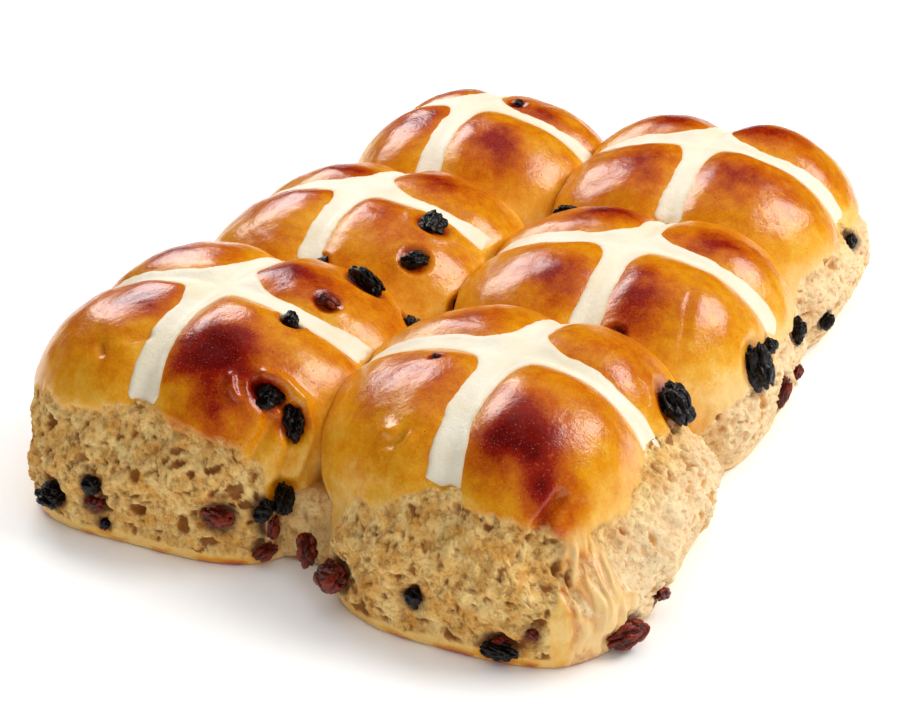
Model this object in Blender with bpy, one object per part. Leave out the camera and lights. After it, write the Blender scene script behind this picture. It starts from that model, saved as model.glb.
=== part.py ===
"""Tray of six hot cross buns, baked together: one bread, six crosses, fruit pieces.

Sizes below are in millimetres; +X runs across the tray, +Y to its back, +Z up.
"""
import math

import bmesh
import bpy
import numpy as np
from mathutils import Matrix, Vector

for old in list(bpy.data.objects):
    bpy.data.objects.remove(old, do_unlink=True)

MM = 0.001

# the dough
BELLY = 17.0            # height where a bun is widest
CHANNEL = 1.8           # depth of the dip each cross lies in
CHANNEL_HALF = 6.5      # how wide that dip is
CORNER = 2.6            # plan roundness of a crown
BASE_CORNER = 4.4       # plan roundness of the flat base
CROWN_POWER = 2.1       # how full a crown is
FUSED_HEIGHT = 14.0     # dough joining all six under the creases
AROUND = 32             # facets round a bun
CROWN_RINGS = (0.18, 0.42, 0.64, 0.82, 0.94, 1.0)
WALL_RINGS = ((0.2, 0.0), (0.5, 0.0), (0.86, 0.6), (1.0, 2.6))

# the crosses
CROSS_HALF = 3.7        # half the width of an arm
CROSS_WEB = 5.6         # half the square where the arms meet
CROSS_PROUD = 0.7       # stands above the dip
CROSS_DEEP = 1.6        # sunk below the dip
GAP = 0.3               # clear space between pieces that touch
MERGE = 0.004           # corners closer than this are one corner

# name, centre x y, crossing height, then left right front back:
# reach of the crown, where its crust ends, reach of the base, bulge of the side
BUNS = (
    ("front_left", (-39.3, -69.8), 46.6,
     (44.5, 46.0, 42.0, 44.0), (42.0, 60.0, 37.8, 60.0), (38.5, 46.0, 42.8, 46.0), (3.5, 0.0, 1.5, 0.0)),
    ("front_right", (38.0, -73.9), 45.6,
     (46.0, 35.5, 44.0, 44.0), (60.0, 33.2, 39.3, 60.0), (45.0, 40.0, 46.4, 42.0), (0.0, 4.0, 0.6, 0.0)),
    ("middle_left", (-38.2, 1.4), 45.4,
     (41.0, 45.0, 43.0, 44.0), (39.0, 60.0, 60.0, 60.0), (37.0, 45.0, 44.0, 45.0), (3.0, 0.0, 0.0, 0.0)),
    ("middle_right", (39.5, -1.6), 43.3,
     (46.0, 40.5, 43.0, 44.0), (60.0, 39.0, 60.0, 60.0), (46.0, 39.0, 43.0, 44.0), (0.0, 3.0, 0.0, 0.0)),
    ("back_left", (-37.9, 74.7), 46.8,
     (36.5, 45.0, 43.0, 36.5), (35.0, 60.0, 60.0, 35.0), (35.5, 45.0, 45.0, 36.0), (2.0, 0.0, 0.0, 2.0)),
    ("back_right", (36.7, 69.2), 46.0,
     (44.0, 43.6, 43.0, 41.0), (60.0, 41.5, 60.0, 39.0), (45.0, 41.5, 44.0, 39.5), (0.0, 4.5, 0.0, 3.0)),
)


def outline(reach, angle, power):
    """Distance from a bun's centre to a rounded four-sided outline."""
    c = np.cos(angle)
    s = np.sin(angle)
    a = np.where(c < 0, reach[0], reach[1])
    b = np.where(s < 0, reach[2], reach[3])
    return (np.abs(c / a) ** power + np.abs(s / b) ** power) ** (-1.0 / power)


def crown_height(bun, u, v):
    """Height of a bun's top, u and v measured from its crossing."""
    reach = bun[3]
    a = np.where(u < 0, reach[0], reach[1])
    b = np.where(v < 0, reach[2], reach[3])
    q = np.abs(u / a) ** CORNER + np.abs(v / b) ** CORNER
    full = bun[2] + CHANNEL - BELLY
    z = BELLY + full * np.clip(1.0 - q, 0.0, None) ** (1.0 / CROWN_POWER)
    dip = np.exp(-((u / CHANNEL_HALF) ** 2)) + np.exp(-((v / CHANNEL_HALF) ** 2))
    return z - CHANNEL * np.minimum(dip, 1.0) * np.clip((z - BELLY) / 10.0, 0.0, 1.0)


def bun_rings(bun):
    """Rings of one closed bun from the top down: radius and height per direction."""
    angle = np.linspace(0.0, 2.0 * math.pi, AROUND, endpoint=False)
    natural = outline(bun[3], angle, CORNER)
    edge = np.minimum(natural * 0.985, outline(bun[4], angle, 8.0))
    base = outline(bun[5], angle, BASE_CORNER)
    c = np.cos(angle) ** 4
    s = np.sin(angle) ** 4
    side_x = np.where(np.cos(angle) < 0, bun[6][0], bun[6][1])
    side_y = np.where(np.sin(angle) < 0, bun[6][2], bun[6][3])
    bulge = (side_x * c + side_y * s) / (c + s)
    rings = []
    for part in CROWN_RINGS:
        r = edge * part
        rings.append((r, crown_height(bun, r * np.cos(angle), r * np.sin(angle))))
    top = rings[-1][1]
    for down, tuck in WALL_RINGS:
        t = min(down / 0.45, 1.0)
        out = t * t * (3.0 - 2.0 * t)
        swell = math.sin(math.pi * down ** 0.85)
        rings.append((edge + (base - edge) * out + bulge * swell - tuck, top * (1.0 - down)))
    return angle, rings


def bun_mesh(bun):
    """Vertices and faces of one closed bun."""
    angle, rings = bun_rings(bun)
    cx, cy = bun[1]
    points = [(cx, cy, bun[2])]
    for r, z in rings:
        points += list(zip(cx + r * np.cos(angle), cy + r * np.sin(angle), z))
    faces = [(0, 1 + j, 1 + (j + 1) % AROUND) for j in range(AROUND)]
    for i in range(len(rings) - 1):
        a = 1 + i * AROUND
        b = a + AROUND
        for j in range(AROUND):
            k = (j + 1) % AROUND
            faces.append((a + j, b + j, b + k, a + k))
    last = 1 + (len(rings) - 1) * AROUND
    faces.append(tuple(last + j for j in reversed(range(AROUND))))
    return points, faces


def make_object(name, points, faces, material=None):
    """A closed mesh object from points in millimetres."""
    mesh = bpy.data.meshes.new(name)
    mesh.from_pydata([tuple(float(c) * MM for c in p) for p in points], [], faces)
    mesh.update()
    bm = bmesh.new()
    bm.from_mesh(mesh)
    bmesh.ops.recalc_face_normals(bm, faces=bm.faces)
    bmesh.ops.triangulate(bm, faces=bm.faces)
    bm.to_mesh(mesh)
    bm.free()
    ob = bpy.data.objects.new(name, mesh)
    bpy.context.scene.collection.objects.link(ob)
    if material is not None:
        ob.data.materials.append(material)
    return ob


def combine(target, other, operation):
    """Boolean of two objects, applied; the second object is used up."""
    mod = target.modifiers.new("join", "BOOLEAN")
    mod.operation = operation
    mod.solver = "EXACT"
    mod.object = other
    graph = bpy.context.evaluated_depsgraph_get()
    done = bpy.data.meshes.new_from_object(target.evaluated_get(graph))
    target.modifiers.clear()
    old = target.data
    target.data = done
    bpy.data.meshes.remove(old)
    bpy.data.objects.remove(other, do_unlink=True)
    bm = bmesh.new()
    bm.from_mesh(done)
    bmesh.ops.remove_doubles(bm, verts=bm.verts, dist=MERGE * MM)
    bmesh.ops.dissolve_degenerate(bm, edges=bm.edges, dist=MERGE * MM)
    bm.to_mesh(done)
    bm.free()


def make_material(name, colour, roughness):
    """Principled material of one colour."""
    mat = bpy.data.materials.new(name)
    mat.use_nodes = True
    shader = mat.node_tree.nodes["Principled BSDF"]
    shader.inputs["Base Color"].default_value = (*colour, 1.0)
    shader.inputs["Roughness"].default_value = roughness
    return mat


def box_mesh(x0, x1, y0, y1, z0, z1, chamfer):
    """A block whose upright corners are cut off."""
    plan = []
    for sx, sy in ((0, 0), (1, 0), (1, 1), (0, 1)):
        x = (x0, x1)[sx]
        y = (y0, y1)[sy]
        dx = (1, -1)[sx] * chamfer
        dy = (1, -1)[sy] * chamfer
        pair = [(x + dx, y), (x, y + dy)]
        if sx != sy:
            pair.reverse()
        plan += pair[::-1]
    n = len(plan)
    points = [(x, y, z0) for x, y in plan] + [(x, y, z1) for x, y in plan]
    faces = [tuple(reversed(range(n))), tuple(range(n, 2 * n))]
    faces += [(j, (j + 1) % n, n + (j + 1) % n, n + j) for j in range(n)]
    return points, faces


# arm lengths of every cross: left, right, front, back
ARMS = {
    "front_left": (37.0, 37.6, 35.6, 37.2),
    "front_right": (38.4, 31.6, 36.8, 36.6),
    "middle_left": (36.0, 34.9, 31.2, 35.2),
    "middle_right": (41.8, 37.6, 34.0, 36.0),
    "back_left": (33.0, 37.4, 36.9, 33.0),
    "back_right": (36.2, 39.6, 33.7, 36.6),
}
# sideways bow of each arm: left, right, front, back
BOWS = {
    "front_left": (0.6, -4.0, 0.0, 0.8),
    "front_right": (1.6, -0.6, -0.8, 0.0),
    "middle_left": (-0.6, -1.8, 0.0, 0.0),
    "middle_right": (1.4, -0.6, 1.0, 0.8),
    "back_left": (0.4, -1.2, -0.6, 0.0),
    "back_right": (1.0, -1.0, 0.6, 0.0),
}
STATIONS = (0.18, 0.42, 0.68, 1.0)          # along an arm, from the web to its tip


def cross_mesh(bun, fat, lift):
    """One cross as a thin closed strip; fat widens it and lift raises its top."""
    cx, cy = bun[1]
    arms = ARMS[bun[0]]
    bows = BOWS[bun[0]]
    directions = ((1, 0), (0, 1), (-1, 0), (0, -1))
    lengths = (arms[1], arms[3], arms[0], arms[2])
    sideways = (bows[1], bows[3], bows[0], bows[2])
    points = []
    faces = []
    web = CROSS_WEB + fat
    deep = CROSS_DEEP + fat

    def add(u, v, above, below):
        z = float(crown_height(bun, np.float64(u), np.float64(v)))
        slope = 1.0 + 0.6 * (max(abs(u), abs(v)) / 40.0) ** 3
        points.append((cx + u, cy + v, z + above * slope - below * slope))
        return len(points) - 1

    crest = add(0.0, 0.0, CROSS_PROUD + lift, 0.0)
    top_corner = []
    low_corner = []
    for k in range(4):
        dx, dy = directions[k]
        px, py = -dy, dx
        u = web * (dx + px)
        v = web * (dy + py)
        top_corner.append(add(u, v, CROSS_PROUD - 0.4 + lift, 0.0))
        low_corner.append(add(u, v, 0.0, deep))
    faces.append(tuple(low_corner))
    for k in range(4):
        dx, dy = directions[k]
        px, py = -dy, dx
        reach = lengths[k] + fat
        row = (top_corner[k - 1], add(web * dx, web * dy, CROSS_PROUD + lift, 0.0), top_corner[k],
               low_corner[k], low_corner[k - 1])
        faces.append((crest, row[0], row[1]))
        faces.append((crest, row[1], row[2]))
        for part in STATIONS:
            s = web + (reach - web) * part
            half = CROSS_HALF + fat + max(0.0, (CROSS_WEB - CROSS_HALF) * (1.0 - part * 4.0))
            bow = sideways[k] * math.sin(math.pi * part)
            u = s * dx + bow * abs(dy)
            v = s * dy + bow * abs(dx)
            new = (add(u - half * px, v - half * py, CROSS_PROUD - 0.4 + lift, 0.0),
                   add(u, v, CROSS_PROUD + lift, 0.0),
                   add(u + half * px, v + half * py, CROSS_PROUD - 0.4 + lift, 0.0),
                   add(u + half * px, v + half * py, 0.0, deep),
                   add(u - half * px, v - half * py, 0.0, deep))
            for i in range(5):
                j = (i + 1) % 5
                faces.append((row[i], row[j], new[j], new[i]))
            row = new
        faces.append(row)
    return points, faces


# dried fruit set in the dough: name, material, middle, long wide thick,
# which way it faces (degrees round from +X, degrees up), turn about that line
FRUIT = (
    ("currant_left_side", "dark", (-61.0, -112.9, 8.6), (7.4, 6.6, 6.6), (-100, 5), 0),
    ("raisin_pair_upper", "dark", (-11.8, -97.6, 35.8), (6.4, 5.6, 5.2), (-45, 40), 30),
    ("raisin_pair_lower", "dark", (-5.4, -96.9, 31.4), (7.6, 5.8, 5.4), (-45, 35), 70),
    ("currant_seam_low", "dark", (-2.4, -105.4, 16.5), (8.0, 4.8, 4.8), (-35, 25), 80),
    ("raisin_left_crumb", "red", (-17.4, -113.0, 12.6), (9.0, 5.4, 4.0), (-90, 0), 0),
    ("raisin_front_seam", "red", (2.4, -112.0, 8.6), (8.6, 5.0, 4.4), (-80, 10), 90),
    ("sultana_front_corner", "red", (13.5, -118.9, 8.4), (9.6, 7.6, 5.6), (-110, 0), 20),
    ("raisin_right_shoulder", "dark", (69.4, -59.2, 32.4), (11.0, 9.6, 7.0), (10, 40), 60),
    ("raisin_front_base", "dark", (54.3, -119.2, 3.6), (9.0, 4.8, 4.6), (-90, 0), 0),
    ("peel_right_corner", "red", (75.6, -105.6, 4.6), (10.0, 6.2, 5.4), (-40, 0), 10),
    ("raisin_middle_left", "dark", (-13.4, -9.4, 42.2), (8.8, 7.0, 5.0), (-20, 65), 30),
    ("raisin_middle_front", "dark", (-11.9, -22.9, 38.6), (7.2, 4.8, 4.4), (-45, 60), 0),
    ("raisin_left_crease", "dark", (-14.4, -45.8, 40.6), (11.4, 5.4, 5.4), (35, 55), 40),
    ("raisin_pit", "dark", (-2.8, -45.6, 31.6), (6.6, 5.2, 4.6), (25, 45), 0),
    ("currant_middle_seam", "dark", (-0.6, -22.6, 27.6), (7.6, 4.2, 4.2), (-20, 30), 80),
    ("raisin_right_flank", "dark", (77.8, -16.8, 24.6), (12.6, 8.2, 6.0), (-8, 22), 85),
    ("raisin_back_rim", "dark", (79.2, 13.6, 21.0), (7.0, 5.4, 5.0), (10, 20), 60),
    ("raisin_right_low", "red", (81.0, -3.0, 11.6), (9.4, 4.4, 4.0), (0, -10), 80),
    ("raisin_back_crown", "dark", (12.0, 24.0, 38.6), (8.0, 4.8, 4.4), (120, 60), 20),
)


def fruit_mesh(entry, seed, fat):
    """A lumpy seven-sided fruit, grown by fat for the hollow it sits in."""
    rng = np.random.default_rng(seed)
    half = [size / 2.0 + fat for size in entry[3]]
    face = math.radians(entry[4][0])
    lift = math.radians(entry[4][1])
    out = Vector((math.cos(face) * math.cos(lift), math.sin(face) * math.cos(lift), math.sin(lift)))
    along = Vector((-math.sin(face), math.cos(face), 0.0))
    along = Matrix.Rotation(math.radians(entry[5]), 3, out) @ along
    across = out.cross(along)
    middle = Vector(entry[2])
    points = [middle + out * half[2]]
    for ring in (1, 2, 3):
        polar = math.pi * ring / 4.0
        for j in range(7):
            turn = 2.0 * math.pi * (j + 0.5 * ring) / 7.0
            lump = 1.0 - 0.14 * rng.random()
            flat = math.sin(polar) * lump
            points.append(middle + along * (half[0] * flat * math.cos(turn))
                          + across * (half[1] * flat * math.sin(turn))
                          + out * (half[2] * math.cos(polar)))
    points.append(middle - out * half[2])
    faces = [(0, 1 + j, 1 + (j + 1) % 7) for j in range(7)]
    for i in (0, 1):
        a = 1 + 7 * i
        b = a + 7
        for j in range(7):
            k = (j + 1) % 7
            faces.append((a + j, b + j, a + k))
            faces.append((a + k, b + j, b + k))
    faces += [(15 + j, 22, 15 + (j + 1) % 7) for j in range(7)]
    return points, faces


dough = make_material("bread_dough", (0.55, 0.28, 0.08), 0.5)
paste = make_material("cross_paste", (0.87, 0.80, 0.64), 0.7)
currant = make_material("dried_fruit", (0.03, 0.015, 0.012), 0.4)
sultana = make_material("red_fruit", (0.20, 0.04, 0.02), 0.4)

# one bread: six buns and the dough that joins them
bread = make_object("bread", *bun_mesh(BUNS[0]), dough)
for bun in BUNS[1:]:
    combine(bread, make_object("next_bun", *bun_mesh(bun)), "UNION")
combine(bread, make_object("fused", *box_mesh(-62.0, 62.0, -96.0, 96.0, 0.0, FUSED_HEIGHT, 12.0)), "UNION")

crosses = []
for bun in BUNS:
    combine(bread, make_object("channel", *cross_mesh(bun, GAP, 6.0)), "DIFFERENCE")
    crosses.append(make_object("cross_" + bun[0], *cross_mesh(bun, 0.0, 0.0), paste))

skins = {"dark": currant, "red": sultana}
for number, entry in enumerate(FRUIT):
    combine(bread, make_object("hollow", *fruit_mesh(entry, number, GAP)), "DIFFERENCE")
    make_object(entry[0], *fruit_mesh(entry, number, 0.0), skins[entry[1]])

# the origin is the middle of the underside of the whole tray
solids = list(bpy.context.scene.objects)
low = np.min([v.co for ob in solids for v in ob.data.vertices], axis=0)
high = np.max([v.co for ob in solids for v in ob.data.vertices], axis=0)
home = Vector(((low[0] + high[0]) / 2.0, (low[1] + high[1]) / 2.0, low[2]))
for ob in solids:
    ob.data.transform(Matrix.Translation(-home))
    ob.data.update()
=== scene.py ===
"""Looks of six hot cross buns baked in one batch: glazed crowns, torn crumb, crosses, fruit.

Lengths are millimetres until a mesh is made. Each bun is worked out round its own crossing:
u runs across the batch (+X), v to its back (+Y) and z up.
"""
import math

import bmesh
import bpy
import numpy as np
from mathutils import Matrix, Vector


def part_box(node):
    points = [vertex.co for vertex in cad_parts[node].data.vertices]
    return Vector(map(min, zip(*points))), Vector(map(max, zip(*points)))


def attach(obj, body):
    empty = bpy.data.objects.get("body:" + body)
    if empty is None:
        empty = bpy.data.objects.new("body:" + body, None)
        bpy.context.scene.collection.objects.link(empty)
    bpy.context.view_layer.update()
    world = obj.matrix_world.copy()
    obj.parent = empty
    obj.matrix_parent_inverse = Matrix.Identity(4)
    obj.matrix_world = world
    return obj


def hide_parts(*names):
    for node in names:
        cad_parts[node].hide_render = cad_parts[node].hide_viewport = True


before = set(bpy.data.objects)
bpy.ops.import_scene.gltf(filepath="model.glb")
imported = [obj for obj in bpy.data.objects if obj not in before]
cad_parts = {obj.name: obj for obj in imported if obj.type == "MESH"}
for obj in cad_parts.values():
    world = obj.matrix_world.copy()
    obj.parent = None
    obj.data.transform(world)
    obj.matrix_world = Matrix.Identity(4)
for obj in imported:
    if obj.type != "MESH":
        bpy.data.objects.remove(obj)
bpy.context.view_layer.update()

MM = 0.001

# ------------ sizes shared with the solids
BELLY = 17.0  # height where a bun is widest
CORNER = 2.6  # plan roundness of a crown
CROWN_POWER = 2.1  # how full a crown is
BASE_CORNER = 4.0  # plan roundness of the flat base
ARM_HALF = 3.7  # half the width of a cross's arm
WEB = 6.4  # half the square where the arms meet

# ------------ sizes of the finer surface
AROUND = 440  # points round a bun
CROWN_ROWS = 72
WALL_ROWS = 62
FLOOR_ROWS = 7
DIP = 1.8  # groove of the cross at the crossing
DIP_END = 2.2  # and at the arm's end
DIP_HALF = 5.2  # half width of that groove
BASE_ROUND = 6.0  # rounded lower edge
TUCK = 0.3  # share of that edge's radius that is drawn in
RECESS = 0.8  # torn crumb lies this far under the skin
FOLD_SCALE = 1.4  # folds are made deeper than stated, as the mesh softens them
EDGE_POWER = 6.0  # plan roundness where the crown meets the side
EDGE_SHARE = 0.985  # the crown ends before its own slope turns upright
CROWN_EASE = 1.5  # how much closer the crown's rows lie at its edge


def bun(centre, top, reach, edge, base, bulge, arms, bows, puffs, torn, dark, folds=(), shreds=(),
        trims=(0.0, 0.0, 0.0, 0.0)):
    """One bun's sizes. Four numbers in a row are for left, right, front and back."""
    return dict(centre=centre, top=top, reach=reach, edge=edge, base=base, bulge=bulge, arms=arms,
                bows=bows, puffs=puffs, torn=torn, dark=dark, folds=folds, shreds=shreds, trims=trims)


# puffs: swelling of the quadrants front left, front right, back left, back right.
# torn: side, height of the base skin, then the crust's edge as places along the side and heights.
# dark: middle u v, half sizes, strength of the browner patches on the crown.
# folds: depth (a ridge is negative), half width, then the points of the line.
# shreds: middle u v, radius and top of a corner where skin hangs in strips.
# trims: share by which a corner is rounder, front left, front right, back left, back right.
BUNS = {
    "front_left": bun(
        (-39.3, -69.8), 46.6, (44.5, 46, 42, 44), (41.4, 40, 37.8, 37),
        (38.5, 38.8, 45.4, 36.8), (1, 0, 0, 0), (38.6, 38.6, 36.8, 37.6),
        (0.6, -4, -1.4, 0.8), (2.2, 3.2, 3.6, 2),
        (("front", 3.4, ((-36, 20), (-34, 28), (-27, 29.5), (-20, 29), (-12, 30), (-7, 32), (-1, 34),
                         (5, 34.2), (7.5, 31.2), (16, 29.6), (24, 28), (29, 25), (31.2, 20), (33.6, 14.6),
                         (36, 10), (38, 6))),
         ("left", 3, ((-34, 16), (-30, 25), (-18, 27), (-4, 27), (0, 30), (4, 27), (20, 26), (31, 24),
                        (34, 18)))),
        ((15.5, -26, 9.5, 6.5, 1), (18, -33.5, 6, 5, 0.75), (-12, -14.5, 7.5, 5.5, 0.75),
         (13, 9.5, 9, 5, 0.7), (-19, 12, 9, 6, 0.45)),
        ((1.4, 1.5, ((29.8, -30.5, 32.9), (30.2, -32, 30.6), (29.1, -33.9, 28.4), (27.6, -36, 25.4))),
         (-1.5, 1.2, ((26.2, -25.5, 39.4), (30.3, -24.2, 37.8), (34.4, -24.2, 34.4), (36.5, -25.6, 30.7),
                      (36.8, -28.8, 26.1), (36.4, -32.1, 20))),
         (1.6, 1.3, ((25, -27.5, 38.4), (29.3, -26.6, 36.6), (33, -26.8, 33), (34.6, -28.4, 29.5),
                     (34.8, -31.2, 24.5), (34, -34.5, 19))),
         (-0.9, 0.8, ((20, -28.8, 39.7), (21, -30.5, 38), (22.5, -31.3, 36.6))),
         (0.8, 1, ((-14.6, -28.6, 41), (-13.2, -30.2, 40.2))),
         (0.7, 1.6, ((-5.4, -24.5, 44.3), (-8, -26, 43)))),
        ((37.5, -38, 7, 15),)),
    "front_right": bun(
        (38, -73.9), 45.6, (46, 35.5, 44, 44), (39.4, 33.2, 39.3, 38.7),
        (35.8, 40, 48.8, 38.2), (0, 4, 0, 0), (40.6, 33.2, 38.2, 37.2),
        (1.6, -0.6, -1.6, 0), (1.8, 3.6, 2, 2.4),
        (("front", 3.2, ((-28, 6), (-25.5, 15), (-23.5, 22), (-20.8, 24.5), (-14, 26.4), (-6, 31), (-1.4, 34),
                         (4.4, 34.2), (5.8, 30.8), (13.4, 30.4), (19.6, 28.8), (22.7, 27.4), (26, 24),
                         (29, 21.4), (31, 18), (31.8, 13), (30.5, 6), (28, 2))),
         ("right", 2, ((-32, 6), (-31, 24), (-25, 25), (-19, 25), (-14, 28), (-8, 29.5), (-3, 31), (3, 31),
                         (8, 29.5), (22, 25.7), (34, 22), (36.5, 10)))),
        ((11.6, -27.6, 8.4, 7, 1), (20.2, -31.8, 5.6, 5, 0.95), (15.5, -29, 6, 5.4, 0.95),
         (-19, -14, 9, 6, 0.3), (-14, 14, 9, 6, 0.3), (17, 2, 7, 7, 0.3)),
        ((1.7, 1.2, ((23.3, -31.5, 32.6), (22.2, -34.2, 30.4), (20.8, -36.8, 28.2), (20.2, -38.4, 25.6))),
         (-1.3, 1.7, ((-15.6, -31, 39.4), (-14.2, -31.4, 39.3))),
         (1.7, 0.9, ((-15.4, -33.8, 37.5), (-13.6, -33.2, 38.2), (-11.7, -32.4, 39.2))),
         (-0.5, 1.2, ((-17, -35, 35.5), (-12, -35, 36.6), (-9.5, -32, 39.4)))),
        ((33.4, -36.6, 9, 27),), (0.10, 0, 0, 0)),
    "middle_left": bun(
        (-38.2, 1.4), 45.4, (42.2, 45, 43, 43), (40.2, 38.2, 36.6, 36.2),
        (37, 38, 36.4, 36.6), (2, 0, 0, 0), (37.4, 37, 33, 36),
        (-0.6, -1.8, -1, 0), (2, 2.6, 0.8, 1.6),
        (("left", 3, ((-34, 18), (-30, 25), (-4, 26), (0, 30), (4, 26), (30, 25), (34, 18))),),
        ((-8, 9, 10, 6, 0.6), (12.2, -13.6, 8, 6, 0.35), (15, 12, 9, 7, 0.5),
         (-13, -11, 8, 6, 0.4))),
    "middle_right": bun(
        (39.5, -1.6), 43.3, (46, 40.5, 43, 44), (42.2, 39, 36, 37.7),
        (42, 39, 35.8, 37.5), (0, 3, 0, 0), (42.4, 38.4, 35.6, 37),
        (1.4, -0.6, 0, 0.8), (2.6, 3.2, 2.8, 2.4),
        (("right", 2, ((-34, 12), (-31, 18.5), (-28, 19), (-22, 20.5), (-10, 22), (2, 24.5), (8, 25),
                         (14, 22), (32, 19), (34, 10))),),
        ((-12, -22, 8, 7, 0.6), (11.2, -27, 7, 6, 0.6), (7, -18, 6, 5, 0.4),
         (-14, 18, 9, 7, 0.8), (18, 10, 9, 6, 0.5)),
        ((0.3, 1.1, ((20.2, -12.8, 42), (21.6, -22.8, 39), (23, -28.9, 35.1), (23.3, -34, 30))),
         (0.5, 5, ((15, -14.8, 42), (16.4, -24.8, 38.6), (17.6, -30.9, 34))))),
    "back_left": bun(
        (-37.9, 74.7), 46.8, (35, 44.2, 43, 36), (34, 38.6, 38.9, 34.6),
        (35, 38.4, 38.7, 36), (1, 0, 0, 2), (33.4, 38.8, 37.2, 33.4),
        (0.4, -2.4, -1.4, 0), (1.2, 2.4, 0.8, 0.2),
        (("left", 3, ((-32, 18), (-26, 25), (-4, 26), (0, 30), (4, 26), (24, 25), (29, 18))),
         ("back", 3, ((-29, 18), (-25, 25), (-4, 26), (0, 29), (4, 26), (29, 25), (33, 18)))),
        ((-10, -16, 8, 7, 0.6), (16, -23, 8, 6, 0.6), (5.5, -16, 5, 4, 0.45),
         (20, 3, 9, 5, 0.5), (-12, 12, 9, 7, 0.5))),
    "back_right": bun(
        (36.7, 69.2), 46, (44, 43.6, 43, 41), (37.9, 41.5, 35.5, 39),
        (37.7, 41.5, 35.3, 39.5), (0, 4.5, 0, 3), (38, 40.6, 35.2, 37.6),
        (1, -1, 0, 0), (2.2, 3, 4.2, 4),
        (("right", 2, ((-33, 16), (-28, 24), (-12, 27), (-4, 27), (0, 30), (4, 27), (20, 27), (31, 20))),
         ("back", 3, ((-33, 18), (-28, 25), (-4, 26), (0, 29), (4, 26), (28, 25), (33, 18)))),
        ((15.4, -17.5, 10, 7, 0.5), (-15, -18, 9, 8, 0.45), (13, 12, 12, 6, 0.55),
         (-14, 14, 10, 7, 0.5))),
}

# the batch's own zero in the frame, from the low corner of one cross
CROSS_CORNER = (-76.3, -105.4)
cross_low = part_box("cross_front_left")[0]
SHIFT = np.array((cross_low[0] / MM - CROSS_CORNER[0], cross_low[1] / MM - CROSS_CORNER[1], 0.0))


# ------------ noise
def lattice(cell, seed):
    """A repeatable random number from 0 to 1 for every whole-number cell."""
    h = (cell[..., 0] * 73856093) ^ (cell[..., 1] * 19349663) ^ (cell[..., 2] * 83492791)
    h = (h + seed * 2654435761) & 0xFFFFFFFF
    h = ((h ^ (h >> 16)) * 0x45D9F3B) & 0xFFFFFFFF
    h = ((h ^ (h >> 16)) * 0x45D9F3B) & 0xFFFFFFFF
    return ((h ^ (h >> 16)) & 0xFFFFFF) / float(0xFFFFFF)


def noise(p, seed=0):
    """Gradient noise of points, about -1 to 1."""
    base = np.floor(p).astype(np.int64)
    f = p - base
    w = f * f * f * (f * (f * 6.0 - 15.0) + 10.0)
    total = np.zeros(p.shape[:-1])
    for corner in np.ndindex(2, 2, 2):
        c = np.array(corner)
        cell = base + c
        d = f - c
        dot = sum((lattice(cell, seed + 11 * k + 1) * 2.0 - 1.0) * d[..., k] for k in range(3))
        weight = np.prod(np.where(c == 1, w, 1.0 - w), axis=-1)
        total += dot * weight
    return total * 1.5


def fbm(p, octaves, seed=0):
    """Sum of noises, each finer and weaker."""
    total = np.zeros(p.shape[:-1])
    gain = 1.0
    for k in range(octaves):
        total += gain * noise(p * 2.0 ** k, seed + 97 * k)
        gain *= 0.5
    return total


def pores(p, seed, share, small, large):
    """Depth of round holes scattered in space, in cells; share of the cells has one."""
    base = np.floor(p).astype(np.int64)
    deepest = np.zeros(p.shape[:-1])
    for corner in np.ndindex(3, 3, 3):
        cell = base + np.array(corner) - 1
        middle = cell + np.stack([lattice(cell, seed + k) for k in (1, 2, 3)], axis=-1)
        there = lattice(cell, seed + 4) < share
        radius = small + (large - small) * lattice(cell, seed + 5) ** 2
        away = np.sum((p - middle) ** 2, axis=-1) / radius ** 2
        depth = np.sqrt(np.clip(1.0 - away, 0.0, 1.0)) * radius
        deepest = np.maximum(deepest, np.where(there, depth, 0.0))
    return deepest


def smooth(low, high, x):
    """Smooth step from 0 at low to 1 at high."""
    t = np.clip((x - low) / (high - low), 0.0, 1.0)
    return t * t * (3.0 - 2.0 * t)


# ------------ the shape of a bun
def by_side(four, u, v):
    """The numbers of a bun's sides that hold at u, v: one across and one along."""
    return np.where(u < 0, four[0], four[1]), np.where(v < 0, four[2], four[3])


def by_quadrant(four, u, v):
    """The number that holds at u, v, of front left, front right, back left and back right."""
    front, back = four[:2], four[2:]
    return np.where(v < 0, np.where(u < 0, front[0], front[1]), np.where(u < 0, back[0], back[1]))


def middle_of(b):
    """A bun's crossing in the batch, at the floor."""
    return np.array((*b["centre"], 0.0))


def outline(four, angle, power):
    """Distance from the crossing to a rounded four-sided outline."""
    c = np.cos(angle)
    s = np.sin(angle)
    a, b = by_side(four, c, s)
    return (np.abs(c / a) ** power + np.abs(s / b) ** power) ** (-1.0 / power)


def trim(b, u, v):
    """Share of a bun's outline that is left where a corner is rounder."""
    return 1.0 - by_quadrant(b["trims"], u, v) * np.sin(2.0 * np.arctan2(v, u)) ** 2


def dome(b, u, v):
    """Height of the plain crown, with no groove and no swelling."""
    left = trim(b, u, v)
    u, v = u / left, v / left
    a, f = by_side(b["reach"], u, v)
    q = np.abs(u / a) ** CORNER + np.abs(v / f) ** CORNER
    return BELLY + (b["top"] + DIP - BELLY) * np.clip(1.0 - q, 0.0, None) ** (1.0 / CROWN_POWER)


def arm_lines(b, u, v):
    """How far u, v lies sideways from the arms across and from the arms along."""
    arm_x, arm_y = by_side(b["arms"], u, v)
    bow_x, bow_y = by_side(b["bows"], u, v)
    part_x = np.clip((np.abs(u) - WEB) / (arm_x - WEB), 0.0, 1.0)
    part_y = np.clip((np.abs(v) - WEB) / (arm_y - WEB), 0.0, 1.0)
    return v - bow_x * np.sin(math.pi * part_x), u - bow_y * np.sin(math.pi * part_y)


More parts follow.
